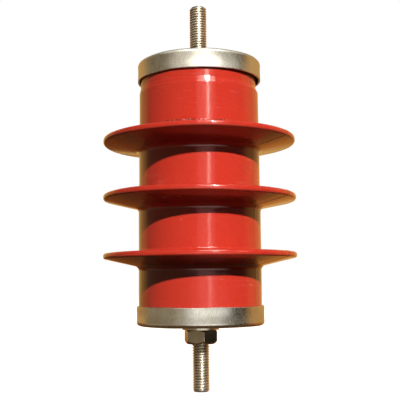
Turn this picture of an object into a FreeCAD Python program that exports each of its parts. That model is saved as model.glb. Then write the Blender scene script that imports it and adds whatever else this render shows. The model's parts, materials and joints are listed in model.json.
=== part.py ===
import FreeCAD, Part
import math
import os
from FreeCAD import Vector

# A polymer-housed line arrester: a ribbed insulating housing moulded on a glass-fibre tube, a column
# of varistor discs held under spring load inside it, and a threaded stud at each end.
# Millimetres. The origin is the centre of the bottom cap's outer face, +Z runs up the axis.

# ---- overall ----
HEIGHT = 152.2          # outer face of the bottom cap to outer face of the top cap
CLEAR = 0.05            # radial clearance between parts that fit into each other
FRONT = -90.0           # direction of the front, in degrees from +X

# ---- housing ----
SHED_COUNT = 3
SHED_FIRST_Z = 39.5     # middle of the lowest shed's rim
SHED_PITCH = 33.3
SHED_R = 55.6
SHED_RIM = 3.0          # thickness at the rim
SHED_RIM_ROUND = 1.3
SHED_DROP = 6.2         # underside at the body, below the middle of the rim
SHED_RISE = 2.3         # top side at the body, above the middle of the rim
UNDER_FILLET = 3.0
UPPER_FILLET = 1.5
FOOT_BELOW = 2.8        # a shed's foot goes this far below its underside at the body ...
FOOT_ABOVE = 1.8        # ... and this far above its top side there
FOOT_DEPTH = 0.5        # into the housing
SECTION_R = [35.2, 35.2, 34.95, 34.7]   # body radius below, between and above the sheds, with its draft
NECK_LOW_Z = 133.7      # the body tapers from here ...
NECK_HIGH_Z = 136.2     # ... to here, to go inside the top cap
NECK_R = 33.65
NECK_LOW_ROUND = 1.2
NECK_HIGH_ROUND = 3.0
END_ROUND = 0.5

# ---- tube and its end electrodes ----
TUBE_R = 29.0
TUBE_BORE_R = 25.0
FLANGE_R = 31.0
FLANGE_H = 5.0
SPIGOT_H = 11.0
SEAL_RING_WIRE_R = 1.0
SEAL_GROOVE_W = 2.6
SEAL_GROOVE_R = 22.9
SEAL_GROOVE_T = 7.8     # middle of the groove, from the flange
PIN_COUNT = 3
PIN_R = 1.5
PIN_T = 3.5             # pins' axes, from the flange
PIN_INNER_R = 20.0
PIN_OUTER_R = 28.9
LINER_BORE_R = 22.0
TURNED_EDGE = 0.4       # broken edges of the turned aluminium parts
PIN_TURN = 30.0         # direction of the first pin, in degrees from +X

# ---- caps and gaskets ----
SHEET = 1.2
CAP_HOLE_R = 5.3
LIP_ROUND = 0.3
BOTTOM_CAP_R = 36.5
BOTTOM_CAP_H = 11.0
BOTTOM_CAP_CORNER = 2.2
TOP_CAP_R = 36.0
TOP_CAP_H = 11.1
TOP_CAP_CORNER = 2.0
GASKET_H = 1.5
GASKET_R = 33.1
GASKET_BORE_R = 18.0
SEAT_T = SHEET + GASKET_H               # a cap's outer face to its electrode

# ---- M10 studs, nuts and washers ----
THREAD_R = 5.0
THREAD_MINOR_R = 4.2
STUD_LENGTH = 50.0
STUD_CHAMFER = 0.9
STUD_HOLE_DEPTH = 14.0
BOTTOM_REACH = 37.1     # stud's end, outwards from the cap
TOP_REACH = 34.5
GROOVE_OUT = 0.2        # thread relief at the nut: this far outside its outer face ...
GROOVE_IN = 0.6         # ... and this far inside it
NUT_FLATS = 17.0
NUT_CHAMFER_ANGLE = 30.0
NUT_COUNTERSINK = 0.55
NUT_FACE_INSET = 0.2    # a nut's round bearing face is this much smaller in radius than its flats
BOTTOM_NUT_H = 8.0
TOP_NUT_H = 5.0
BOTTOM_NUT_TURN = 11.5  # a corner of the nut, to the right of the front
TOP_NUT_TURN = -22.0
WASHER_R = 10.5
WASHER_BORE_R = 5.25
WASHER_EDGE = 0.25
BOTTOM_WASHER_H = 2.5
TOP_WASHER_H = 2.0

# ---- the column inside the tube ----
VARISTOR_COUNT = 4
VARISTOR_R = 21.0
VARISTOR_H = 20.0
VARISTOR_EDGE = 0.6
CONTACT_R = 20.0
CONTACT_H = 2.0
CONTACT_EDGE = 0.3
PLATE_R = 21.0
PLATE_H = 5.0
PLATE_BOSS_R = 9.9
PLATE_BOSS_H = 2.0
SPRING_WIRE_R = 1.6
SPRING_MEAN_R = 12.0
SPRING_TURNS = 3.5
STRAP_INNER_X = 14.6
STRAP_OUTER_X = 20.4
STRAP_WIDTH = 8.0
STRAP_SHEET = 0.5
STRAP_BEND = 1.2


def rounded_wire(corners, place):
    """Closed wire through corners (a, b, round), each rounded by its own radius; place maps (a, b) to 3-D."""
    count = len(corners)
    starts = []
    ends = []
    middles = []
    for i in range(count):
        here = Vector(corners[i][0], corners[i][1], 0)
        before = Vector(corners[i - 1][0], corners[i - 1][1], 0)
        after = Vector(corners[(i + 1) % count][0], corners[(i + 1) % count][1], 0)
        radius = corners[i][2]
        back = (before - here).normalize()
        forth = (after - here).normalize()
        half = back.getAngle(forth) / 2
        run = radius / math.tan(half)
        bisector = (back + forth).normalize() if radius else Vector(0, 0, 0)
        starts.append(here + back * run)
        ends.append(here + forth * run)
        middles.append(here + bisector * (radius / math.sin(half) - radius))
    edges = []
    for i in range(count):
        if corners[i][2]:
            edges.append(Part.Arc(place(starts[i]), place(middles[i]), place(ends[i])).toShape())
        following = starts[(i + 1) % count]
        if (following - ends[i]).Length > 1e-6:
            edges.append(Part.makeLine(place(ends[i]), place(following)))
    return Part.Wire(edges)


def lathe(corners):
    """Solid of revolution about Z from corners (radius, z, round)."""
    wire = rounded_wire(corners, lambda p: Vector(p.x, 0, p.y))
    return Part.Face(wire).revolve(Vector(0, 0, 0), Vector(0, 0, 1), 360)


def ring(outer_r, inner_r, low_z, high_z, edge=0.0):
    return lathe([
        (inner_r, low_z, 0),
        (outer_r, low_z, edge),
        (outer_r, high_z, edge),
        (inner_r, high_z, 0),
    ])


def disc(radius, low_z, high_z, edge=0.0):
    return lathe([
        (0, low_z, 0),
        (radius, low_z, edge),
        (radius, high_z, edge),
        (0, high_z, 0),
    ])


def at_bottom(shape):
    """End parts are drawn for the bottom end, inwards along +Z from the cap's outer face."""
    return shape


def at_top(shape):
    """The same part turned end for end about the X axis, so that it sits at the top."""
    turned = shape.copy()
    turned.rotate(Vector(0, 0, HEIGHT / 2), Vector(1, 0, 0), 180)
    return turned


def radial_pins(radius, inner_r, outer_r, height):
    """Rods along the radius, evenly spaced round the axis."""
    pins = []
    for i in range(PIN_COUNT):
        pin = Part.makeCylinder(radius, outer_r - inner_r, Vector(inner_r, 0, height), Vector(1, 0, 0))
        pin.rotate(Vector(0, 0, 0), Vector(0, 0, 1), 360.0 / PIN_COUNT * i + PIN_TURN)
        pins.append(pin)
    return pins


def shed_foot(i):
    """Lowest and highest point of the foot by which shed i is bonded into a groove of the housing."""
    middle = SHED_FIRST_Z + SHED_PITCH * i
    return middle - SHED_DROP - FOOT_BELOW, middle + SHED_RISE + FOOT_ABOVE


def housing():
    """The rubber sleeve, with a shallow groove for the foot of each shed."""
    bottom_z = SEAT_T
    top_z = HEIGHT - SEAT_T
    flange_bore = FLANGE_R + CLEAR
    tube_bore = TUBE_R + CLEAR
    corners = [(SECTION_R[0], bottom_z, END_ROUND)]
    for i in range(SHED_COUNT):
        low, high = shed_foot(i)
        groove_r = SECTION_R[i + 1] - FOOT_DEPTH
        corners += [
            (SECTION_R[i], low, 0),
            (groove_r, low, 0),
            (groove_r, high, 0),
            (SECTION_R[i + 1], high, 0),
        ]
    corners += [
        (SECTION_R[-1], NECK_LOW_Z, NECK_LOW_ROUND),
        (NECK_R, NECK_HIGH_Z, NECK_HIGH_ROUND),
        (NECK_R, top_z, END_ROUND),
        (flange_bore, top_z, 0),
        (flange_bore, top_z - FLANGE_H, 0),
        (tube_bore, top_z - FLANGE_H, 0),
        (tube_bore, bottom_z + FLANGE_H, 0),
        (flange_bore, bottom_z + FLANGE_H, 0),
        (flange_bore, bottom_z, 0),
    ]
    return lathe(corners)


def shed(i):
    """Shed i, counted from the bottom: its foot is flush with the housing above and below it."""
    low, high = shed_foot(i)
    middle = SHED_FIRST_Z + SHED_PITCH * i
    bore = SECTION_R[i + 1] - FOOT_DEPTH
    return lathe([
        (bore, low, 0),
        (SECTION_R[i], low, 0),
        (SECTION_R[i], middle - SHED_DROP, UNDER_FILLET),
        (SHED_R, middle - SHED_RIM / 2, SHED_RIM_ROUND),
        (SHED_R, middle + SHED_RIM / 2, SHED_RIM_ROUND),
        (SECTION_R[i + 1], middle + SHED_RISE, UPPER_FILLET),
        (SECTION_R[i + 1], high, 0),
        (bore, high, 0),
    ])


def core_tube():
    """Glass-fibre tube, drilled at each end for the electrode's lock pins."""
    low = SEAT_T + FLANGE_H
    tube = ring(TUBE_R, TUBE_BORE_R, low, HEIGHT - low)
    drills = radial_pins(PIN_R + CLEAR, TUBE_BORE_R - 1, TUBE_R + 1, low + PIN_T)
    for drill in drills:
        tube = tube.cut(drill).cut(at_top(drill))
    return tube


def insulating_liner():
    low = SEAT_T + FLANGE_H + SPIGOT_H
    return ring(TUBE_BORE_R - 2 * CLEAR, LINER_BORE_R, low, HEIGHT - low)


def electrode():
    """Flanged end fitting: a spigot in the tube, with a seal groove, pin holes and the stud's hole."""
    spigot_r = TUBE_BORE_R - CLEAR
    hole_r = THREAD_R + CLEAR
    flange_z = SEAT_T + FLANGE_H
    end_z = flange_z + SPIGOT_H
    groove_low = flange_z + SEAL_GROOVE_T - SEAL_GROOVE_W / 2
    groove_high = groove_low + SEAL_GROOVE_W
    body = lathe([
        (hole_r, SEAT_T, 0),
        (FLANGE_R, SEAT_T, TURNED_EDGE),
        (FLANGE_R, flange_z, 0),
        (spigot_r, flange_z, 0),
        (spigot_r, groove_low, 0),
        (SEAL_GROOVE_R, groove_low, 0),
        (SEAL_GROOVE_R, groove_high, 0),
        (spigot_r, groove_high, 0),
        (spigot_r, end_z, TURNED_EDGE),
        (0, end_z, 0),
        (0, SEAT_T + STUD_HOLE_DEPTH, 0),
        (hole_r, SEAT_T + STUD_HOLE_DEPTH, 0),
    ])
    for drill in radial_pins(PIN_R + CLEAR, PIN_INNER_R - CLEAR, TUBE_R, flange_z + PIN_T):
        body = body.cut(drill)
    return body


def seal_ring():
    """O-ring in the electrode's groove."""
    wire_r = SEAL_RING_WIRE_R
    middle_r = SEAL_GROOVE_R + CLEAR + wire_r
    height = SEAT_T + FLANGE_H + SEAL_GROOVE_T
    return Part.makeTorus(middle_r, wire_r, Vector(0, 0, height), Vector(0, 0, 1))


def lock_pins():
    """Pins through the tube's wall into the electrode, which hold the pile's spring load."""
    return Part.makeCompound(radial_pins(PIN_R, PIN_INNER_R, PIN_OUTER_R, SEAT_T + FLANGE_H + PIN_T))


def gasket():
    return ring(GASKET_R, GASKET_BORE_R, SHEET, SEAT_T)


def cap(radius, height, corner):
    """Drawn sheet-metal cup with a hole for the stud."""
    inner = radius - SHEET
    return lathe([
        (CAP_HOLE_R, 0, 0),
        (radius, 0, corner),
        (radius, height, LIP_ROUND),
        (inner, height, LIP_ROUND),
        (inner, SHEET, corner - SHEET),
        (CAP_HOLE_R, SHEET, 0),
    ])


def stud(reach, nut_face):
    """M10 stud; nut_face is how far the nut's outer face stands out from the cap."""
    end = -reach
    groove_low = -nut_face - GROOVE_OUT
    groove_high = -nut_face + GROOVE_IN
    tip_r = THREAD_R - STUD_CHAMFER
    return lathe([
        (0, end, 0),
        (tip_r, end, 0),
        (THREAD_R, end + STUD_CHAMFER, 0),
        (THREAD_R, groove_low, 0),
        (THREAD_MINOR_R, groove_low, 0),
        (THREAD_MINOR_R, groove_high, 0),
        (THREAD_R, groove_high, 0),
        (THREAD_R, end + STUD_LENGTH - STUD_CHAMFER, 0),
        (tip_r, end + STUD_LENGTH, 0),
        (0, end + STUD_LENGTH, 0),
    ])


def washer(thickness):
    return ring(WASHER_R, WASHER_BORE_R, -thickness, 0, WASHER_EDGE)


def nut(height, seat, corner_direction):
    """Hexagon nut, chamfered on both faces, whose inner face stands `seat` out from the cap."""
    corner_r = NUT_FLATS / 2 / math.cos(math.radians(30))
    low = -seat - height
    high = -seat
    points = []
    for i in range(7):
        angle = math.radians(corner_direction + 60 * i)
        points.append(Vector(corner_r * math.cos(angle), corner_r * math.sin(angle), low))
    prism = Part.Face(Part.makePolygon(points)).extrude(Vector(0, 0, height))
    face_r = NUT_FLATS / 2 - NUT_FACE_INSET
    slope = (corner_r + 1 - face_r) * math.tan(math.radians(NUT_CHAMFER_ANGLE))
    bore_r = THREAD_R + CLEAR
    mouth_r = bore_r + NUT_COUNTERSINK
    turned = lathe([
        (bore_r, low + NUT_COUNTERSINK, 0),
        (mouth_r, low, 0),
        (face_r, low, 0),
        (corner_r + 1, low + slope, 0),
        (corner_r + 1, high - slope, 0),
        (face_r, high, 0),
        (mouth_r, high, 0),
        (bore_r, high - NUT_COUNTERSINK, 0),
    ])
    return prism.common(turned).Solids[0]


def varistor_and_contact_discs():
    """The column from the bottom up, contact discs between and beyond the varistors."""
    parts = {}
    z = SEAT_T + FLANGE_H + SPIGOT_H
    for i in range(VARISTOR_COUNT + 1):
        parts[f"contact_disc_{i + 1}"] = disc(CONTACT_R, z, z + CONTACT_H, CONTACT_EDGE)
        z += CONTACT_H
        if i < VARISTOR_COUNT:
            parts[f"varistor_disc_{i + 1}"] = disc(VARISTOR_R, z, z + VARISTOR_H, VARISTOR_EDGE)
            z += VARISTOR_H
    return parts, z


def pressure_plate(low):
    """Plate under the spring, with a boss that centres the coil."""
    high = low + PLATE_H
    return lathe([
        (0, low, 0),
        (PLATE_R, low, TURNED_EDGE),
        (PLATE_R, high, TURNED_EDGE),
        (PLATE_BOSS_R, high, 0),
        (PLATE_BOSS_R, high + PLATE_BOSS_H, TURNED_EDGE),
        (0, high + PLATE_BOSS_H, 0),
    ])


def compression_spring(low, high):
    """Open coil whose end turns are ground flat."""
    grind = SPRING_WIRE_R / 2
    rise = high - low - 2 * (SPRING_WIRE_R - grind)
    pitch = rise / SPRING_TURNS
    helix = Part.makeHelix(pitch, rise, SPRING_MEAN_R)
    section = Part.Wire(Part.makeCircle(SPRING_WIRE_R, Vector(SPRING_MEAN_R, 0, 0), Vector(0, 1, 0)))
    coil = Part.Wire(helix.Edges).makePipeShell([section], True, True)
    coil.translate(Vector(0, 0, low + SPRING_WIRE_R - grind))
    slab = Part.makeCylinder(2 * SPRING_MEAN_R, high - low, Vector(0, 0, low))
    return coil.common(slab).Solids[0]


def shunt_strap(low, high):
    """Copper strap that carries the current past the spring, bent to a C beside the coil."""
    tip = STRAP_INNER_X
    back = STRAP_OUTER_X
    inner_bend = STRAP_BEND - STRAP_SHEET
    outline = [
        (tip, low, 0),
        (back, low, STRAP_BEND),
        (back, high, STRAP_BEND),
        (tip, high, 0),
        (tip, high - STRAP_SHEET, 0),
        (back - STRAP_SHEET, high - STRAP_SHEET, inner_bend),
        (back - STRAP_SHEET, low + STRAP_SHEET, inner_bend),
        (tip, low + STRAP_SHEET, 0),
    ]
    wire = rounded_wire(outline, lambda p: Vector(p.x, -STRAP_WIDTH / 2, p.y))
    return Part.Face(wire).extrude(Vector(0, STRAP_WIDTH, 0))


def end_parts(prefix, place, sizes):
    """All the pieces of one end, drawn for the bottom and moved to their end by place."""
    washer_h, nut_h = sizes["washer_h"], sizes["nut_h"]
    return {
        f"{prefix}_cap": place(cap(sizes["cap_r"], sizes["cap_h"], sizes["corner"])),
        f"{prefix}_gasket": place(gasket()),
        f"{prefix}_electrode": place(electrode()),
        f"{prefix}_seal_ring": place(seal_ring()),
        f"{prefix}_lock_pins": place(lock_pins()),
        f"{prefix}_stud": place(stud(sizes["reach"], washer_h + nut_h)),
        f"{prefix}_washer": place(washer(washer_h)),
        f"{prefix}_nut": place(nut(nut_h, washer_h, sizes["corner_direction"])),
    }


def all_parts():
    parts = {"housing": housing()}
    for i in range(SHED_COUNT):
        parts[f"shed_{i + 1}"] = shed(i)
    parts["core_tube"] = core_tube()
    parts["insulating_liner"] = insulating_liner()
    column, top_of_column = varistor_and_contact_discs()
    spring_low = top_of_column + PLATE_H
    spring_high = HEIGHT - SEAT_T - FLANGE_H - SPIGOT_H
    parts.update(column)
    parts["pressure_plate"] = pressure_plate(top_of_column)
    parts["compression_spring"] = compression_spring(spring_low, spring_high)
    parts["shunt_strap"] = shunt_strap(spring_low, spring_high)
    parts.update(end_parts("bottom", at_bottom, {
        "cap_r": BOTTOM_CAP_R,
        "cap_h": BOTTOM_CAP_H,
        "corner": BOTTOM_CAP_CORNER,
        "reach": BOTTOM_REACH,
        "washer_h": BOTTOM_WASHER_H,
        "nut_h": BOTTOM_NUT_H,
        "corner_direction": FRONT + BOTTOM_NUT_TURN,
    }))
    parts.update(end_parts("top", at_top, {
        "cap_r": TOP_CAP_R,
        "cap_h": TOP_CAP_H,
        "corner": TOP_CAP_CORNER,
        "reach": TOP_REACH,
        "washer_h": TOP_WASHER_H,
        "nut_h": TOP_NUT_H,
        "corner_direction": FRONT + TOP_NUT_TURN,
    }))
    return parts


os.makedirs("parts", exist_ok=True)
for node, shape in all_parts().items():
    shape.exportStep(f"parts/{node}.step")
    box = shape.BoundBox
    print(f"{node:20} solids {len(shape.Solids)} valid {shape.isValid()} volume {shape.Volume:10.1f}"
          f"  z {box.ZMin:7.2f} to {box.ZMax:7.2f}  r {max(box.XMax, box.YMax):6.2f}")
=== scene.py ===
import bmesh
import bpy
import json
import math
from mathutils import Matrix, Vector, noise

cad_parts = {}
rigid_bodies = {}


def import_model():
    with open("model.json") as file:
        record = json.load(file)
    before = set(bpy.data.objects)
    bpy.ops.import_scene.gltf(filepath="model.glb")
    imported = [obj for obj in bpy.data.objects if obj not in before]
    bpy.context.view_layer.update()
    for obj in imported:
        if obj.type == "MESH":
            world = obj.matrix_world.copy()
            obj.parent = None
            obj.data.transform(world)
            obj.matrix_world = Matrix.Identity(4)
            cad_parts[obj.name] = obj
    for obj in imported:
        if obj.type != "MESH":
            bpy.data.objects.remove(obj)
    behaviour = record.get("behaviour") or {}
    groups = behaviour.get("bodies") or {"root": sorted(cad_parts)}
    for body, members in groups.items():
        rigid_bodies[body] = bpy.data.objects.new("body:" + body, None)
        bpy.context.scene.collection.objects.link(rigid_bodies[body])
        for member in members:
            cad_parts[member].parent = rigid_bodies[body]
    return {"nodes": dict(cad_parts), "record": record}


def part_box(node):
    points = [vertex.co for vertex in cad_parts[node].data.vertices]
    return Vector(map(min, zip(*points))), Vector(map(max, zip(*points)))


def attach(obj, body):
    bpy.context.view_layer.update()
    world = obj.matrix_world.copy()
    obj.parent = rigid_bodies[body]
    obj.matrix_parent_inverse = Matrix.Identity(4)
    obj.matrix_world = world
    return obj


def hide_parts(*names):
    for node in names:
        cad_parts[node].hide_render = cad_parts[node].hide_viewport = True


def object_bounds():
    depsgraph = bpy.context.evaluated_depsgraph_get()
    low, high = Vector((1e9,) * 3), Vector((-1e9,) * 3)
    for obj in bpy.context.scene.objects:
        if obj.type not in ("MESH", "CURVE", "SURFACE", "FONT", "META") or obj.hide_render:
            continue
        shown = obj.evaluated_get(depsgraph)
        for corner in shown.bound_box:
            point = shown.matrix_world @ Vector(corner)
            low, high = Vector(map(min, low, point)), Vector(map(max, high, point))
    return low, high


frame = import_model()
cad_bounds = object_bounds()

# A polymer-housed line arrester. Metres, in the frame of the CAD: the origin is the centre of the bottom
# cap's outer face, +Z runs up the axis to the top stud, and the front faces -Y.

MM = 0.001
FRONT = math.radians(-90)                   # direction of the front, from +X
BASE_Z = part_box("bottom_cap")[0].z          # outer face of the bottom cap
TOP_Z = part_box("top_cap")[1].z              # outer face of the top cap
LOWEST_Z = cad_bounds[0].z
SAME_POINT = 2e-7                           # points closer than this are merged

# ---- housing ----
HOUSING_SIDES = 288
FIT_GAP = 0.05 * MM                         # between the housing's bore and what stands in it
HOUSING_EDGE = 0.5 * MM                     # rounding of the housing's ends
SHED_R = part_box("shed_1")[1].x
SHED_COUNT = 3
SHED_FIRST_Z = 39.5 * MM                    # middle of the lowest shed's rim
SHED_PITCH = 33.3 * MM
SHED_RIM = 3.0 * MM                         # thickness at the rim
SHED_RIM_ROUND = 1.3 * MM
SHED_DROP = 6.2 * MM                        # underside at the body, below the middle of the rim
SHED_RISE = 2.3 * MM                        # top side at the body, above the middle of the rim
UNDER_FILLET = 3.0 * MM
UPPER_FILLET = 1.5 * MM
SECTION_R = [35.2 * MM, 35.2 * MM, 34.95 * MM, 34.7 * MM]     # the body below, between and above the sheds
NECK_LOW_Z = 133.7 * MM                     # the body narrows from here ...
NECK_HIGH_Z = 136.2 * MM                    # ... to here, to go inside the top cap
NECK_R = 33.65 * MM
NECK_LOW_ROUND = 1.2 * MM
NECK_HIGH_ROUND = 3.0 * MM
NECK_SHIFT = 0.8 * MM                       # the moulded neck is off centre by this much ...
NECK_SHIFT_ANGLE = math.radians(-112)       # ... this way
SKIN_WAVES = ((0.07 * MM, 38), (0.025 * MM, 120))             # depth, and waves in a metre
RIM_WAVE = 0.25 * MM                        # waviness of the sheds' rims
# how far each shed's rim droops, leans, and the angle it leans towards, from the lowest up
SHED_WARP = [
    (0.0, 0.25 * MM, math.radians(120)),
    (0.0, 0.60 * MM, math.radians(62)),
    (0.45 * MM, 0.78 * MM, math.radians(112)),
]

# ---- the mould's parting line, up both sides of the housing ----
SEAM_ANGLE = FRONT + math.radians(61)
SEAM_RIDGE_H = 0.16 * MM
SEAM_RIDGE_W = 0.34 * MM
SEAM_FLASH = 2.2                            # how much higher it stands in flecks on the neck ...
SEAM_FLASH_END_Z = (140 * MM, 142 * MM)     # ... up to here
SEAM_DETAIL = (-0.75, -0.45, -0.25, -0.1, 0.0, 0.1, 0.25, 0.45, 0.75)      # extra angles there, in degrees
CLOSEST_SIDES = math.radians(0.05)          # of two angles closer than this, one is left out

# ---- caps ----
CAP_SIDES = 256
SHEET = 1.2 * MM
CAP_HOLE_R = 5.3 * MM
CAP_HOLE_EDGE = 0.15 * MM
LIP_ROUND = 0.35 * MM
DENT_WAVES = ((0.16 * MM, 55), (0.02 * MM, 260))              # depth, and waves in a metre
CAP_WAIST = 0.16 * MM                       # how far the wall is drawn in half way up
LIP_WAVE = 0.22 * MM                        # waviness of the lip
LIP_NICK = 0.12 * MM                        # depth of its nicks
CAPS = {    # outer face, +1 if it opens upwards, corner, seed of its dents, lean and shift to the right
    "bottom": (BASE_Z, 1, 2.2 * MM, 2.0, 0.0, 0.0),
    "top": (TOP_Z, -1, 2.0 * MM, 9.0, 0.3 * MM, 0.3 * MM),
}

# ---- M10 studs, nuts and washers ----
PITCH = 1.5 * MM
THREAD_CREST_R = 5.0 * MM
THREAD_ROOT_R = 4.08 * MM
THREAD_SIDES = 72
# shares of the pitch and of the thread's depth, down a flank from crest to root
THREAD_FLANK = ((0.0, 0.0), (0.055, 0.03), (0.10, 0.12), (0.38, 0.84), (0.44, 0.97), (0.5, 1.0))
STUD_TIP_R = 4.0 * MM
STUD_TIP_SLOPE = 1.1
STUD_END_INSET = 0.4 * MM                   # narrow rim round a stud's end face
NUT_FLAT_R = 8.5 * MM                       # half the width across flats
NUT_MOUTH_R = THREAD_CREST_R + 0.55 * MM    # where the thread's countersink meets the face
NUT_THREAD_GAP = 0.05 * MM
NUT_EDGE_W = 0.16 * MM                      # wear of the outer edges
NUT_EDGE_ANGLE = math.radians(22)           # sharper edges than this are worn
# radius of a nut's face, and the two slopes of its chamfer
NUT_INNER_SIDE = (NUT_FLAT_R - 0.2 * MM, math.tan(math.radians(30)), math.tan(math.radians(30)))
NUT_OUTER_SIDE = (NUT_FLAT_R - 0.9 * MM, math.tan(math.radians(28)), math.tan(math.radians(50)))
NUTS = {    # a corner's angle to the right of the front, and -1 if the outer face is the lower one
    "bottom": (math.radians(11.5), -1),
    "top": (math.radians(22), 1),
}
WASHER_SIDES = 128
WASHER_BORE_R = 5.25 * MM


# ------------------------------------------------------------------ mesh helpers

def polar(r, angle, z):
    return Vector((r * math.cos(angle), r * math.sin(angle), z))


def even_angles(count, start=0.0):
    return [start + 2 * math.pi * j / count for j in range(count)]


def smooth_step(low, high, value):
    t = min(1.0, max(0.0, (value - low) / (high - low)))
    return t * t * (3 - 2 * t)


def waviness(spot, waves, shifts=(Vector((0, 0, 0)), Vector((0, 0, 0)))):
    """Sum of noises at a point, each with its depth and fineness."""
    layers = zip(waves, shifts)
    return sum(depth * noise.noise(spot * fineness + shift) for (depth, fineness), shift in layers)


def rounded_profile(corners, arc_step=math.radians(14), run_step=2.4 * MM, support=0.18 * MM):
    """Points (r, z) of a closed outline whose corners (r, z, round) are rounded by arcs.
    Straight runs are cut into pieces of about run_step, with support points close to their ends."""
    count = len(corners)
    starts, ends, arcs = [], [], []
    for i, (r, z, radius) in enumerate(corners):
        here = Vector((r, z))
        back = (Vector(corners[i - 1][:2]) - here).normalized()
        forth = (Vector(corners[(i + 1) % count][:2]) - here).normalized()
        half = back.angle(forth) / 2
        run = radius / math.tan(half)
        starts.append(here + back * run)
        ends.append(here + forth * run)
        arc = []
        if radius:
            centre = here + (back + forth).normalized() * (radius / math.sin(half))
            a = starts[-1] - centre
            b = ends[-1] - centre
            turn = a.angle(b)
            steps = max(3, round(turn / arc_step))
            for k in range(1, steps):
                t = k / steps
                arc.append(centre + (a * math.sin((1 - t) * turn) + b * math.sin(t * turn)) / math.sin(turn))
        arcs.append(arc)
    points = []
    for i in range(count):
        points.append(starts[i])
        if corners[i][2]:
            points += arcs[i]
            points.append(ends[i])
        run = starts[(i + 1) % count] - ends[i]
        length = run.length
        if length > 4 * support:
            inner = length - 2 * support
            pieces = max(1, round(inner / run_step))
            for k in range(pieces + 1):
                points.append(ends[i] + run * ((support + inner * k / pieces) / length))
    return points


def profile_normals(profile):
    """Outward normals (r, z) of a closed profile that runs up its outer side."""
    normals = []
    for i in range(len(profile)):
        along = profile[(i + 1) % len(profile)] - profile[i - 1]
        normals.append(Vector((along.y, -along.x)).normalized())
    return normals


def new_object(name, data):
    made = bpy.data.objects.new(name, data)
    bpy.context.scene.collection.objects.link(made)
    return made


def merge_points(bm):
    bmesh.ops.remove_doubles(bm, verts=bm.verts, dist=SAME_POINT)


def drop_loose_points(bm):
    loose = [v for v in bm.verts if not v.link_faces]
    bmesh.ops.delete(bm, geom=loose, context="VERTS")


def finish_mesh(bm, name, sharp=math.radians(40)):
    merge_points(bm)
    bmesh.ops.dissolve_degenerate(bm, edges=bm.edges, dist=SAME_POINT / 2)
    mesh = bpy.data.meshes.new(name)
    bm.to_mesh(mesh)
    bm.free()
    mesh.shade_smooth()
    mesh.set_sharp_from_angle(angle=sharp)
    return new_object(name, mesh)


def add_rings(bm, rings, closed=False):
    """Joins rings of points, each with the same count, into a skin that faces outwards when they go up."""
    rows = [[bm.verts.new(p) for p in ring] for ring in rings]
    count = len(rows[0])
    pairs = list(zip(rows, rows[1:]))
    if closed:
        pairs.append((rows[-1], rows[0]))
    for low, high in pairs:
        for j in range(count):
            k = (j + 1) % count
            bm.faces.new((low[j], low[k], high[k], high[j]))


def lathe(name, corners, angles, move=None, **detail):
    """Closed solid of revolution; move(r, angle, z, normal) gives each point's new (r, z)."""
    profile = rounded_profile(corners, **detail)
    rings = []
    for point, normal in zip(profile, profile_normals(profile)):
        ring = []
        for angle in angles:
            r, z = (point.x, point.y) if move is None else move(point.x, angle, point.y, normal)
            ring.append(polar(r, angle, z))
        rings.append(ring)
    bm = bmesh.new()
    add_rings(bm, rings, closed=True)
    return finish_mesh(bm, name)


# ------------------------------------------------------------------ housing

def housing_angles():
    """Even angles, with finer ones where the mould's parting line crosses."""
    step = 2 * math.pi / HOUSING_SIDES
    angles = [SEAM_ANGLE + step * (j + 0.5) for j in range(HOUSING_SIDES)]
    for side in (0, math.pi):
        angles += [SEAM_ANGLE + side + math.radians(offset) for offset in SEAM_DETAIL]
    wrapped = sorted(a % (2 * math.pi) for a in angles)
    kept = [wrapped[0]]
    for a in wrapped[1:]:
        if a - kept[-1] > CLOSEST_SIDES:
            kept.append(a)
    return kept


def housing_move(r, angle, z, normal):
    """Small unevenness of the moulding: the parting line's ridge, wavy skin and sagging sheds."""
    in_bore = r < NECK_R - 1 * MM
    if in_bore:
        return r, z
    spot = polar(r, angle, z)
    across = r * math.sin(angle - SEAM_ANGLE)
    rough = 0.6 + 0.8 * abs(noise.noise(spot * 420))
    ridge = SEAM_RIDGE_H * rough * math.exp(-(across / SEAM_RIDGE_W) ** 2)
    on_neck = smooth_step(NECK_LOW_Z - 2 * MM, NECK_LOW_Z, z) * (1 - smooth_step(*SEAM_FLASH_END_Z, z))
    flash = on_neck * max(0.0, noise.noise(spot * 700)) * SEAM_FLASH
    offset = ridge * (1 + flash) + waviness(spot, SKIN_WAVES)
    neck = smooth_step(NECK_LOW_Z, NECK_HIGH_Z, z)
    r += normal.x * offset + neck * NECK_SHIFT * math.cos(angle - NECK_SHIFT_ANGLE)
    z += normal.y * offset

    shed = min(range(SHED_COUNT), key=lambda i: abs(z - SHED_FIRST_Z - SHED_PITCH * i))
    reach = max(0.0, (r - SECTION_R[shed]) / (SHED_R - SECTION_R[shed]))
    droop, lean, towards = SHED_WARP[shed]
    wave = RIM_WAVE * noise.noise(Vector((math.cos(angle) * 1.3, math.sin(angle) * 1.3, shed * 7.3)))
    z += reach ** 1.4 * (wave - droop - lean * math.cos(angle - towards))
    return r, z


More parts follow.
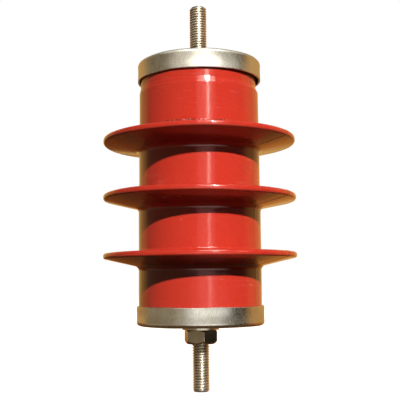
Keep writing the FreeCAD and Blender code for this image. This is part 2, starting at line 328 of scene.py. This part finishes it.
def make_housing():
    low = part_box("housing")[0].z
    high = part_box("housing")[1].z
    tube_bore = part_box("core_tube")[1].x + FIT_GAP
    flange_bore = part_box("bottom_electrode")[1].x + FIT_GAP
    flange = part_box("core_tube")[0].z - low
    corners = [(SECTION_R[0], low, HOUSING_EDGE)]
    for i in range(SHED_COUNT):
        middle = SHED_FIRST_Z + SHED_PITCH * i
        corners += [
            (SECTION_R[i], middle - SHED_DROP, UNDER_FILLET),
            (SHED_R, middle - SHED_RIM / 2, SHED_RIM_ROUND),
            (SHED_R, middle + SHED_RIM / 2, SHED_RIM_ROUND),
            (SECTION_R[i + 1], middle + SHED_RISE, UPPER_FILLET),
        ]
    corners += [
        (SECTION_R[-1], NECK_LOW_Z, NECK_LOW_ROUND),
        (NECK_R, NECK_HIGH_Z, NECK_HIGH_ROUND),
        (NECK_R, high, HOUSING_EDGE),
        (flange_bore, high, 0),
        (flange_bore, high - flange, 0),
        (tube_bore, high - flange, 0),
        (tube_bore, low + flange, 0),
        (flange_bore, low + flange, 0),
        (flange_bore, low, 0),
    ]
    return lathe("housing_moulding", corners, housing_angles(), housing_move)


# ------------------------------------------------------------------ caps

def make_cap(name, node, face_z, up, corner, seed, lean, shift):
    """Drawn cup. Its profile is drawn inwards from its outer face; up is +1 at the bottom and -1 at the top.
    Its right side is higher than its axis by lean, and it sits off centre to the right by shift."""
    low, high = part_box(node)
    radius = high.x
    height = high.z - low.z
    inner = radius - SHEET
    seeds = (Vector((seed, 0, 0)), Vector((0, seed, 0)))

    def dent(r, angle, z, normal):
        off_hole = smooth_step(CAP_HOLE_R + 8 * MM, CAP_HOLE_R + 16 * MM, r)
        offset = off_hole * waviness(polar(r, angle, z), DENT_WAVES, seeds)
        at_lip = smooth_step(height - 1.5 * MM, height, z)
        wave = noise.noise(Vector((math.cos(angle) * 2.2, math.sin(angle) * 2.2, seed)))
        nick = noise.noise(Vector((math.cos(angle) * 21, math.sin(angle) * 21, seed + 5)))
        rim = at_lip * (LIP_WAVE * wave - LIP_NICK * max(0.0, nick - 0.25))
        waist = -CAP_WAIST * math.sin(math.pi * min(1.0, z / height)) ** 2 * off_hole
        tip = lean * (r / radius) * math.cos(angle)
        r += shift * math.cos(angle)
        return r + waist + normal.x * offset, face_z + tip + up * (z + normal.y * offset + rim)

    corners = [
        (CAP_HOLE_R, 0, CAP_HOLE_EDGE),
        (radius, 0, corner),
        (radius, height, LIP_ROUND),
        (inner, height, LIP_ROUND),
        (inner, SHEET, corner - SHEET),
        (CAP_HOLE_R, SHEET, CAP_HOLE_EDGE),
    ]
    angles = even_angles(CAP_SIDES)
    if up < 0:
        angles.reverse()
    return lathe(name, corners, angles, dent, run_step=1.6 * MM)


# ------------------------------------------------------------------ threaded parts

def thread_rows():
    """(share of a pitch, radius) across one turn of the thread, crest first."""
    depth = THREAD_CREST_R - THREAD_ROOT_R
    rows = [(share, THREAD_CREST_R - depth * d) for share, d in THREAD_FLANK]
    rows += [(1 - share, radius) for share, radius in reversed(rows[1:-1])]
    return rows


def thread_skin(bm, low, high, limit, outwards, gap=0.0, start=0.0):
    """A right-hand helical thread from low to high; limit(radius, z) trims it at its ends."""
    rows = thread_rows()
    first = math.floor(low / PITCH) - 2
    last = math.ceil(high / PITCH) + 1
    lines = []
    for turn in range(first, last + 1):
        for share, radius in rows:
            line = []
            for j in range(THREAD_SIDES + 1):
                z = (turn + share + j / THREAD_SIDES + start / (2 * math.pi)) * PITCH
                z = min(high, max(low, z))
                angle = start + 2 * math.pi * j / THREAD_SIDES
                line.append(polar(limit(radius + gap, z), angle, z))
            lines.append([bm.verts.new(p) for p in line])
    for below, above in zip(lines, lines[1:]):
        for j in range(THREAD_SIDES):
            corners = (below[j], below[j + 1], above[j + 1], above[j])
            if len({tuple(round(c, 8) for c in v.co) for v in corners}) > 2:
                bm.faces.new(corners if outwards else corners[::-1])


def make_stud(name, node):
    low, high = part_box(node)[0].z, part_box(node)[1].z
    bm = bmesh.new()

    def limit(radius, z):
        from_end = min(z - low, high - z)
        return min(radius, STUD_TIP_R + from_end * STUD_TIP_SLOPE)

    thread_skin(bm, low, high, limit, True)
    merge_points(bm)
    drop_loose_points(bm)
    open_edges = [e for e in bm.edges if e.is_boundary]
    ends = bmesh.ops.holes_fill(bm, edges=open_edges, sides=0)["faces"]
    bmesh.ops.inset_region(bm, faces=ends, thickness=STUD_END_INSET)
    return finish_mesh(bm, name, math.radians(50))


def make_nut(name, node, corner_angle, outwards):
    """Hexagon nut; outwards is -1 if its outer face is its lower one. Its outer corners are worn round."""
    low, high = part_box(node)[0].z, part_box(node)[1].z
    angles = even_angles(THREAD_SIDES, corner_angle)

    def hexagon(angle):
        from_flat = (angle - corner_angle) % math.radians(60) - math.radians(30)
        return NUT_FLAT_R / math.cos(from_flat)

    def face_and_chamfer(z, up, side):
        """Rings from the thread's mouth over a face and its chamfer, in two slopes, to the flats."""
        face_r, shallow, steep = side
        half_way, edge = [], []
        for a in angles:
            half = (hexagon(a) - face_r) / 2
            half_way.append(polar(face_r + half, a, z + up * half * shallow))
            edge.append(polar(hexagon(a), a, z + up * half * (shallow + steep)))
        radii = (NUT_MOUTH_R, NUT_MOUTH_R + 0.2 * MM, face_r - 0.2 * MM, face_r)
        face = [[polar(r, a, z) for a in angles] for r in radii]
        return face + [half_way, edge]

    def limit(radius, z):
        from_end = min(z - low, high - z)
        return max(radius, NUT_MOUTH_R - from_end)

    low_side, high_side = NUT_INNER_SIDE, NUT_OUTER_SIDE
    if outwards < 0:
        low_side, high_side = high_side, low_side
    middle = [polar(hexagon(a), a, (low + high) / 2) for a in angles]
    upper = face_and_chamfer(high, -1, high_side)[::-1]
    bm = bmesh.new()
    add_rings(bm, face_and_chamfer(low, 1, low_side) + [middle] + upper)
    thread_skin(bm, low, high, limit, False, gap=NUT_THREAD_GAP, start=corner_angle)
    merge_points(bm)
    drop_loose_points(bm)
    weight = bm.edges.layers.float.new("bevel_weight_edge")
    for edge in bm.edges:
        outside = min(v.co.xy.length for v in edge.verts) > NUT_OUTER_SIDE[0] - 0.05 * MM
        if outside and edge.is_manifold and edge.calc_face_angle() > NUT_EDGE_ANGLE:
            edge[weight] = 1.0
    piece = finish_mesh(bm, name, math.radians(35))
    bevel = piece.modifiers.new("worn_edges", "BEVEL")
    bevel.width = NUT_EDGE_W
    bevel.segments = 3
    bevel.limit_method = "WEIGHT"
    return piece


def make_washer(name, node):
    """Stamped washer, rounder on its upper side."""
    low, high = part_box(node)
    corners = [
        (WASHER_BORE_R, low.z, 0.15 * MM),
        (high.x, low.z, 0.25 * MM),
        (high.x, high.z, 0.45 * MM),
        (WASHER_BORE_R, high.z, 0.3 * MM),
    ]
    return lathe(name, corners, even_angles(WASHER_SIDES), run_step=1.5 * MM)


# ------------------------------------------------------------------ materials

class Nodes:
    """A node tree, with short calls to add and link nodes."""

    def __init__(self, tree):
        self.tree = tree
        tree.nodes.clear()

    def put(self, value, socket):
        """Links a socket, or sets it to a number, a vector or a colour."""
        if isinstance(value, bpy.types.NodeSocket):
            self.tree.links.new(value, socket)
        elif socket.type == "RGBA":
            socket.default_value = (*value, 1.0)
        else:
            socket.default_value = value

    def put_all(self, node, inputs):
        for name, value in inputs.items():
            self.put(value, node.inputs[name.replace("_", " ")])

    def add(self, kind, **inputs):
        made = self.tree.nodes.new(kind)
        self.put_all(made, inputs)
        return made

    def axes(self, vector):
        return self.add("ShaderNodeSeparateXYZ", Vector=vector).outputs

    def maths(self, operation, *values):
        made = self.add("ShaderNodeMath")
        made.operation = operation
        for value, socket in zip(values, made.inputs):
            self.put(value, socket)
        return made.outputs[0]

    def plus(self, a, b):
        return self.maths("ADD", a, b)

    def times(self, a, b):
        return self.maths("MULTIPLY", a, b)

    def fit(self, value, low, high, to_low=0.0, to_high=1.0):
        """value from low..high to to_low..to_high, clamped and eased."""
        made = self.add("ShaderNodeMapRange", Value=value, From_Min=low, From_Max=high,
                        To_Min=to_low, To_Max=to_high)
        made.interpolation_type = "SMOOTHSTEP"
        return made.outputs["Result"]

    def blend(self, share, a, b):
        """Colour a, with a share of colour b."""
        made = self.add("ShaderNodeMix")
        made.data_type = "RGBA"
        colours = [s for s in made.inputs if s.type == "RGBA"]
        self.put(share, made.inputs["Factor"])
        self.put(a, colours[0])
        self.put(b, colours[1])
        return [s for s in made.outputs if s.type == "RGBA"][0]


class Paint(Nodes):
    """A material of one shader, with textures laid out by the place on the object."""

    def __init__(self, name):
        self.material = bpy.data.materials.new(name)
        self.material.use_nodes = True
        super().__init__(self.material.node_tree)
        self.shader = self.add("ShaderNodeBsdfPrincipled")
        self.add("ShaderNodeOutputMaterial", Surface=self.shader.outputs["BSDF"])
        self.coordinates = self.add("ShaderNodeTexCoord").outputs
        self.place = self.coordinates["Object"]

    def set(self, **inputs):
        self.put_all(self.shader, inputs)

    def noise(self, scale, detail=2.0, roughness=0.5, stretch=(1, 1, 1)):
        place = self.add("ShaderNodeMapping", Vector=self.place, Scale=stretch).outputs[0]
        made = self.add("ShaderNodeTexNoise", Vector=place, Scale=scale, Detail=detail, Roughness=roughness)
        return made.outputs["Fac"]

    def cells(self, scale):
        return self.add("ShaderNodeTexVoronoi", Vector=self.place, Scale=scale).outputs["Distance"]

    def upwards(self):
        """How far the surface faces up, from -1 to 1."""
        return self.axes(self.coordinates["Normal"])[2]

    def radius(self):
        """Distance from the axis."""
        x, y, z = self.axes(self.place)
        return self.maths("SQRT", self.plus(self.times(x, x), self.times(y, y)))

    def band(self, value, centre, half):
        """1 where value is within half of centre, easing to 0."""
        away = self.maths("ABSOLUTE", self.maths("SUBTRACT", value, centre))
        return self.fit(away, half * 0.5, half, 1.0, 0.0)

    def brush(self, amount, turn=0.0):
        """Draws the gloss out round the axis, or turned from that by a share of a full turn."""
        made = self.add("ShaderNodeTangent")
        made.direction_type = "RADIAL"
        made.axis = "Z"
        self.set(Anisotropic=amount, Anisotropic_Rotation=turn, Tangent=made.outputs[0])

    def bump(self, *layers):
        """Bumps (height, depth in metres) chained one on another."""
        normal = None
        for height, depth in layers:
            made = self.add("ShaderNodeBump", Height=height, Strength=1.0, Distance=depth)
            if normal:
                self.put(normal, made.inputs["Normal"])
            normal = made.outputs["Normal"]
        self.set(Normal=normal, Coat_Normal=normal)


# red silicone rubber
RED_DEEP = (0.245, 0.0130, 0.0072)
RED_BRIGHT = (0.285, 0.0170, 0.0100)
RED_GRAIN = (0.40, 0.066, 0.037)
# painted shade: a darker, greyer red for the undersides, standing in for the light they lack
RED_UNDERSIDE_PAINTED_SHADE = (0.145, 0.036, 0.024)
SCUFFED = (0.62, 0.31, 0.25)
DUST = (0.60, 0.37, 0.31)
# painted shade along the mould's parting line
SEAM_PAINTED_SHADE = (0.05, 0.012, 0.008)
# a ring of residue round the body, just above the top shed
RESIDUE_Z = SHED_FIRST_Z + SHED_PITCH * 2 + 6.0 * MM
RESIDUE_HALF = 0.9 * MM
RESIDUE_DARK = (0.06, 0.012, 0.009)
RESIDUE_PALE = (0.8, 0.6, 0.55)
# metals
STAIN = (0.30, 0.22, 0.13)
THREAD_DIRT = (0.17, 0.12, 0.06)


def rubber_paint():
    """Glossy red silicone rubber with mould marks, faint scuffs and dust, with painted shade on its
    undersides and along the parting line.
    """
    p = Paint("red_silicone")
    x, y, z = p.axes(p.place)
    upwards = p.upwards()
    base = p.blend(p.noise(30, 3), RED_DEEP, RED_BRIGHT)
    base = p.blend(p.fit(p.noise(900, 2), 0.35, 0.75, 0.0, 0.10), base, RED_GRAIN)
    # painted shade: surfaces that face down are blended towards a darker, greyer red
    base = p.blend(p.fit(upwards, -0.5, -0.85, 0.0, 0.75), base, RED_UNDERSIDE_PAINTED_SHADE)

    scuff = p.fit(p.noise(60, 4, 0.65, (1, 1, 16)), 0.59, 0.74)
    scuff = p.times(scuff, p.fit(p.noise(26, 2), 0.44, 0.62))
    base = p.blend(p.times(scuff, 0.2), base, SCUFFED)

    speck = p.fit(p.cells(210), 0.03, 0.07, 1.0, 0.0)
    speck = p.times(speck, p.fit(p.noise(70, 2), 0.58, 0.66))
    base = p.blend(p.times(speck, 0.6), base, DUST)

    residue = p.band(z, RESIDUE_Z, RESIDUE_HALF)
    pale = p.times(residue, p.fit(p.noise(620, 2, 0.6, (1, 1, 0.6)), 0.55, 0.64))
    dark = p.times(residue, p.fit(p.noise(430, 2, 0.6, (1, 1, 0.3)), 0.60, 0.50))
    base = p.blend(p.times(dark, 0.9), base, RESIDUE_DARK)
    base = p.blend(p.times(pale, 0.25), base, RESIDUE_PALE)

    # painted shade along the parting line: wider and darker on the sheds than on the body, and darkest
    # underneath
    across = p.plus(p.times(x, -math.sin(SEAM_ANGLE)), p.times(y, math.cos(SEAM_ANGLE)))
    on_shed = p.fit(p.radius(), SECTION_R[0] + 1 * MM, SECTION_R[0] + 4 * MM)
    seam = p.band(p.times(across, p.fit(on_shed, 0.0, 1.0, 1.0, 0.45)), 0.0, 0.55 * MM)
    seam = p.times(seam, p.fit(p.noise(90, 2), 0.3, 0.5, 0.35, 1.0))
    seam = p.times(seam, p.fit(on_shed, 0.0, 1.0, 0.3, 0.55))
    seam = p.times(seam, p.fit(upwards, -0.5, 0.2, 1.6, 1.0))
    base = p.blend(seam, base, SEAM_PAINTED_SHADE)

    rough = p.plus(p.fit(p.noise(140, 3), 0.3, 0.7, 0.20, 0.235), p.times(scuff, 0.06))
    p.set(Base_Color=base, Roughness=rough, IOR=1.36, Specular_IOR_Level=0.22)
    p.set(Coat_Weight=0.68, Coat_Roughness=0.10, Coat_IOR=1.45)
    p.set(Subsurface_Weight=0.12, Subsurface_Scale=1.0 * MM, Subsurface_Radius=(1.0, 0.18, 0.08))
    p.brush(1.0, 0.25)
    grooves = p.noise(3400, 1, 0.5, (0.012, 0.012, 1))
    p.bump((p.noise(260, 2), 0.012 * MM), (grooves, 0.03 * MM), (scuff, 0.02 * MM))
    return p.material


def steel_paint(name, colour, dull, rough, brushed=0.0, stains=0.35, dirt_r=None):
    """Bare or plated steel: fine brushed or turned marks, blotchy dulling and stains. A thread is dirty
    below the radius dirt_r."""
    p = Paint(name)
    streak = p.noise(4200, 3, 0.6, (1, 1, 0.12)) if brushed else p.noise(1800, 2, 0.6)
    blotch = p.noise(75, 4, 0.6)
    base = p.blend(p.fit(blotch, 0.35, 0.7), colour, dull)
    base = p.blend(p.fit(streak, 0.35, 0.65, 0.0, 0.16), base, tuple(0.5 * c for c in colour))
    spots = p.fit(p.noise(190, 5, 0.7), 0.56, 0.72)
    base = p.blend(p.times(spots, stains), base, STAIN)
    if dirt_r:
        dirt = p.fit(p.radius(), dirt_r, dirt_r - 0.35 * MM)
        base = p.blend(p.times(dirt, p.fit(blotch, 0.3, 0.6, 0.6, 0.85)), base, THREAD_DIRT)
    roughness = p.plus(p.fit(streak, 0.42, 0.58, rough * 0.8, rough * 1.25), p.times(spots, 0.12))
    p.set(Base_Color=base, Metallic=1.0, Roughness=roughness)
    if brushed:
        p.brush(brushed)
    p.bump((blotch, 0.03 * MM), (streak, 0.004 * MM))
    return p.material


def fibre_paint():
    """Filament-wound glass fibre: crossed bands under clear resin."""
    p = Paint("wound_glass_fibre")
    x, y, z = p.axes(p.place)
    turn = p.maths("ARCTAN2", y, x)
    waves = []
    for lean in (1, -1):
        phase = p.plus(p.times(z, 900.0), p.times(turn, 14.0 * lean))
        waves.append(p.maths("SINE", phase))
    weave = p.times(waves[0], waves[1])
    base = p.blend(p.fit(weave, -0.6, 0.6), (0.46, 0.48, 0.27), (0.66, 0.68, 0.45))
    base = p.blend(p.fit(p.noise(60, 3), 0.4, 0.7, 0.0, 0.4), base, (0.52, 0.44, 0.22))
    p.set(Base_Color=base, Roughness=p.fit(p.noise(500, 2), 0.3, 0.7, 0.3, 0.5))
    p.bump((weave, 0.05 * MM))
    return p.material


def ceramic_paint():
    """Sintered zinc oxide: near black, finely speckled."""
    p = Paint("zinc_oxide")
    base = p.blend(p.fit(p.noise(2500, 3, 0.7), 0.4, 0.65), (0.035, 0.036, 0.04), (0.12, 0.12, 0.125))
    base = p.blend(p.fit(p.noise(90, 2), 0.4, 0.7, 0.0, 0.3), base, (0.10, 0.085, 0.07))
    p.set(Base_Color=base, Roughness=p.fit(p.noise(700, 2), 0.3, 0.7, 0.45, 0.65))
    p.bump((p.noise(1800, 3), 0.02 * MM))
    return p.material


def turned_paint(name, colour, rough):
    """Turned metal: rings about the axis, with slight dulling."""
    p = Paint(name)
    z = p.axes(p.place)[2]
    rings = p.maths("SINE", p.times(p.plus(p.radius(), z), 16000.0))
    base = p.blend(p.fit(p.noise(120, 4), 0.35, 0.7), colour, tuple(0.7 * c for c in colour))
    p.set(Base_Color=base, Metallic=1.0, Roughness=p.fit(p.noise(400, 3), 0.3, 0.7, rough, rough + 0.15))
    p.bump((rings, 0.004 * MM))
    return p.material


def matt_paint(name, colour, pale, rough):
    """Matt rubber or cast compound with fine grain and a little dust."""
    p = Paint(name)
    base = p.blend(p.fit(p.noise(160, 4, 0.6), 0.4, 0.7), colour, pale)
    p.set(Base_Color=base, Roughness=p.fit(p.noise(800, 2), 0.3, 0.7, rough, rough + 0.15))
    p.bump((p.noise(1500, 3), 0.015 * MM))
    return p.material


def paint(piece, material):
    piece.data.materials.clear()
    piece.data.materials.append(material)


# ------------------------------------------------------------------ pieces

def stand_in(piece, node, body, material):
    """Paints a piece and gives it its node's place and its body."""
    paint(piece, material)
    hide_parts(node)
    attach(piece, body)
    return piece


def make_outside():
    cap_steel = steel_paint("drawn_steel", (0.57, 0.56, 0.52), (0.45, 0.435, 0.39), 0.27, brushed=0.5)
    stud_steel = steel_paint("stud_steel", (0.90, 0.86, 0.78), (0.76, 0.71, 0.62), 0.32, dirt_r=4.66 * MM)
    nut_steel = steel_paint("nut_steel", (0.40, 0.37, 0.32), (0.30, 0.27, 0.22), 0.11, stains=0.1)
    washer_steel = steel_paint("washer_steel", (0.58, 0.53, 0.45), (0.42, 0.37, 0.29), 0.33)
    moulding = stand_in(make_housing(), "housing", "arrester", rubber_paint())
    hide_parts(*[f"shed_{i + 1}" for i in range(SHED_COUNT)])
    for end, shape in CAPS.items():
        cap = make_cap(f"{end}_drawn_cap", f"{end}_cap", *shape)
        stand_in(cap, f"{end}_cap", "arrester", cap_steel)
    for end, (corner, outwards) in NUTS.items():
        stud = make_stud(f"{end}_threaded_stud", f"{end}_stud")
        stand_in(stud, f"{end}_stud", "arrester", stud_steel)
        nut = make_nut(f"{end}_hexagon_nut", f"{end}_nut", FRONT + corner, outwards)
        stand_in(nut, f"{end}_nut", f"{end}_nut", nut_steel)
        washer = make_washer(f"{end}_plain_washer", f"{end}_washer")
        stand_in(washer, f"{end}_washer", f"{end}_washer", washer_steel)


def paint_inside():
    """Finishes for the CAD nodes that show as they are."""
    by_slot = {
        "glass_fibre": fibre_paint(),
        "liner": matt_paint("cast_compound", (0.80, 0.77, 0.69), (0.66, 0.62, 0.53), 0.5),
        "varistor": ceramic_paint(),
        "aluminium": turned_paint("turned_aluminium", (0.74, 0.74, 0.75), 0.3),
        "spring_steel": turned_paint("spring_steel", (0.30, 0.30, 0.31), 0.3),
        "copper": steel_paint("copper", (0.80, 0.42, 0.26), (0.55, 0.24, 0.13), 0.3, stains=0.5),
        "black_rubber": matt_paint("black_rubber", (0.018, 0.018, 0.018), (0.05, 0.048, 0.045), 0.6),
        "pin_steel": turned_paint("ground_steel", (0.55, 0.55, 0.56), 0.22),
    }
    for part in frame["record"]["subparts"]:
        if part["material_slot"] in by_slot:
            paint(frame["nodes"][part["node"]], by_slot[part["material_slot"]])


# ------------------------------------------------------------------ camera, light and floor

CAMERA_AT = Vector((0.0, -454.5 * MM, 24.6 * MM))
CAMERA_PITCH = math.radians(5.94)
CAMERA_ROLL = -0.0087
CAMERA_YAW = 0.0005
CAMERA_LENS = 70.8
CAMERA_SENSOR_W = 36.0

# azimuths are in degrees to the right of the front, and heights in degrees above the horizon
KEY_COLOUR = (1.0, 0.95, 0.86)
KEY_AZIMUTH = 15.8
KEY_HEIGHT = 27.6
KEY_DISTANCE = 2.0
# The key light in parts: what each falls on, its energy, azimuth, height and width, and the rays it leaves
# out. The rubber has a narrow and a wide part for its gloss and one for its matt part, the studs have one
# and the other metal two wide ones.
KEY_PARTS = {
    "key_gloss": ("rubber", 3.0, 18.6, KEY_HEIGHT, 0.6, "diffuse"),
    "key_gloss_wide": ("rubber", 2.6, KEY_AZIMUTH, 36.0, 32.0, "diffuse"),
    "key_on_rubber": ("rubber", 9.6, KEY_AZIMUTH, KEY_HEIGHT, 1.6, "glossy"),
    "key_on_studs": ("studs", 6.5, KEY_AZIMUTH, KEY_HEIGHT, 1.6, None),
    "key_on_metal": ("metal", 3.3, 11.0, 47.0, 72.0, None),
    "key_on_metal_wide": ("metal", 1.8, 9.0, 56.0, 122.0, None),
}
# power, colour, azimuth, height, distance, and the lamp's width and height
FRONT_SOFTBOX = (3.8, (1.0, 0.46, 0.40), 11.5, 8.0, 1.5, (0.85, 1.3))
BACK_FILL = (14.0, (1.0, 0.80, 0.58), 190.0, 42.0, 1.8, (1.6, 1.2))

# what the object reflects, by direction
FRONT_LOW = (0.46, 0.36, 0.22)
FRONT_HIGH = (0.25, 0.195, 0.11)
FRONT_RIGHT = (0.16, 0.135, 0.095)
FRONT_RIGHT_LOW = (0.012, 0.010, 0.008)
FACING = (0.08, 0.08, 0.07)
FACING_LOW = (2.5, 2.45, 2.3)
BEHIND = (0.84, 0.46, 0.14)
BEHIND_LOW = (0.80, 0.27, 0.05)
BEHIND_LOW_LEFT = (0.26, 0.07, 0.015)
BELOW = (0.13, 0.07, 0.03)
ABOVE = (0.24, 0.23, 0.21)
# what lights it apart from the lamps
AMBIENT = (0.075, 0.035, 0.020)
AMBIENT_BEHIND = (0.34, 0.17, 0.06)

# backdrop
WHITE = (1.0, 1.0, 1.0)
FLOOR_HALF = 3.0


def make_camera():
    data = bpy.data.cameras.new("camera")
    data.lens = CAMERA_LENS
    data.sensor_width = CAMERA_SENSOR_W
    data.clip_start = 0.01
    camera = new_object("camera", data)
    forward = Vector((
        math.sin(CAMERA_YAW) * math.cos(CAMERA_PITCH),
        math.cos(CAMERA_YAW) * math.cos(CAMERA_PITCH),
        math.sin(CAMERA_PITCH),
    ))
    right = forward.cross(Vector((0, 0, 1))).normalized()
    up = right.cross(forward)
    right, up = (right * math.cos(CAMERA_ROLL) + up * math.sin(CAMERA_ROLL),
                 up * math.cos(CAMERA_ROLL) - right * math.sin(CAMERA_ROLL))
    turn = Matrix((right, up, -forward)).transposed().to_4x4()
    camera.matrix_world = Matrix.Translation(CAMERA_AT) @ turn
    bpy.context.scene.camera = camera


def light_groups():
    """Collections of what the lights fall on: the rubber moulding, the studs, and the other pieces."""
    groups = {name: bpy.data.collections.new(f"light_on_{name}") for name in ("rubber", "studs", "metal")}
    for thing in bpy.context.scene.objects:
        if thing.type == "MESH":
            group = "metal"
            if thing.name == "housing_moulding":
                group = "rubber"
            elif thing.name.endswith("_stud"):
                group = "studs"
            groups[group].objects.link(thing)
    return groups


def add_light(name, kind, energy, colour, azimuth, height, distance):
    """A light aimed at the object's middle from an azimuth and a height."""
    data = bpy.data.lights.new(name, kind)
    data.energy = energy
    data.color = colour
    light = new_object(name, data)
    middle = Vector((0, 0, (BASE_Z + TOP_Z) / 2))
    rise = math.radians(height)
    at = middle + polar(distance * math.cos(rise), FRONT + math.radians(azimuth), distance * math.sin(rise))
    light.location = at
    light.rotation_euler = (middle - at).to_track_quat("-Z", "Y").to_euler()
    return light


def add_area_light(name, power, colour, azimuth, height, distance, size):
    light = add_light(name, "AREA", power, colour, azimuth, height, distance)
    light.data.shape = "RECTANGLE"
    light.data.size, light.data.size_y = size
    return light


def make_lights():
    groups = light_groups()
    for name, (group, energy, azimuth, height, width, left_out) in KEY_PARTS.items():
        key = add_light(name, "SUN", energy, KEY_COLOUR, azimuth, height, KEY_DISTANCE)
        key.data.angle = math.radians(width)
        key.visible_diffuse = left_out != "diffuse"
        key.visible_glossy = left_out != "glossy"
        key.light_linking.receiver_collection = groups[group]
    softbox = add_area_light("front_softbox", *FRONT_SOFTBOX)
    softbox.visible_diffuse = False
    softbox.light_linking.receiver_collection = groups["rubber"]
    add_area_light("back_fill", *BACK_FILL).visible_glossy = False


def make_world():
    """White for the camera, dim for matt light, and coloured by direction for what the object reflects."""
    world = bpy.data.worlds.new("studio")
    world.use_nodes = True
    bpy.context.scene.world = world
    n = Nodes(world.node_tree)

    def background(colour):
        return n.add("ShaderNodeBackground", Color=colour).outputs[0]

    def choose(share, a, b):
        made = n.add("ShaderNodeMixShader")
        for value, socket in zip((share, a, b), made.inputs):
            n.put(value, socket)
        return made.outputs[0]

    x, y, z = n.axes(n.add("ShaderNodeTexCoord").outputs["Generated"])
    # the shares of x turn both of these a little to the right
    behind = n.fit(n.maths("MULTIPLY_ADD", x, 0.2, y), 0.12, 0.42)
    facing = n.fit(n.maths("MULTIPLY_ADD", x, -0.25, y), -0.70, -0.98)
    low_left = n.times(n.times(behind, n.fit(z, -0.04, -0.10)), n.fit(x, 0.02, -0.06))
    front_right = n.blend(n.fit(z, -0.075, -0.035), FRONT_RIGHT_LOW, FRONT_RIGHT)

    reflected = n.blend(n.fit(z, -0.16, 0.06), FRONT_LOW, FRONT_HIGH)
    reflected = n.blend(n.fit(x, 0.45, 0.75), reflected, front_right)
    reflected = n.blend(facing, reflected, n.blend(n.fit(z, -0.05, -0.11), FACING, FACING_LOW))
    reflected = n.blend(behind, reflected, n.blend(n.fit(z, -0.20, -0.08), BEHIND_LOW, BEHIND))
    reflected = n.blend(low_left, reflected, BEHIND_LOW_LEFT)
    reflected = n.blend(n.fit(z, -0.22, -0.55), reflected, BELOW)
    reflected = n.blend(n.fit(z, 0.42, 0.75), reflected, ABOVE)
    diffused = n.blend(behind, AMBIENT, AMBIENT_BEHIND)

    rays = n.add("ShaderNodeLightPath").outputs
    lighting = choose(rays["Is Diffuse Ray"], background(reflected), background(diffused))
    seen = choose(rays["Is Camera Ray"], lighting, background(WHITE))
    n.add("ShaderNodeOutputWorld", Surface=seen)


def make_floor():
    """Flat floor that glows almost white by itself. The object neither reflects it nor is lit by it."""
    low, high, z = -FLOOR_HALF, FLOOR_HALF, LOWEST_Z
    mesh = bpy.data.meshes.new("floor")
    mesh.from_pydata([(low, low, z), (high, low, z), (high, high, z), (low, high, z)], [], [(0, 1, 2, 3)])
    floor = new_object("floor", mesh)
    p = Paint("pale_floor")
    tone = p.fit(p.noise(3, 3), 0.3, 0.7, 0.86, 0.90)
    grey = p.add("ShaderNodeCombineColor", Red=tone, Green=tone, Blue=tone)
    p.set(Base_Color=grey.outputs[0], Roughness=0.7, Emission_Color=WHITE, Emission_Strength=0.96)
    paint(floor, p.material)
    floor.visible_diffuse = False
    floor.visible_glossy = False


make_camera()
make_outside()
paint_inside()
make_world()
make_lights()
make_floor()
bpy.context.scene.view_settings.view_transform = "Standard"
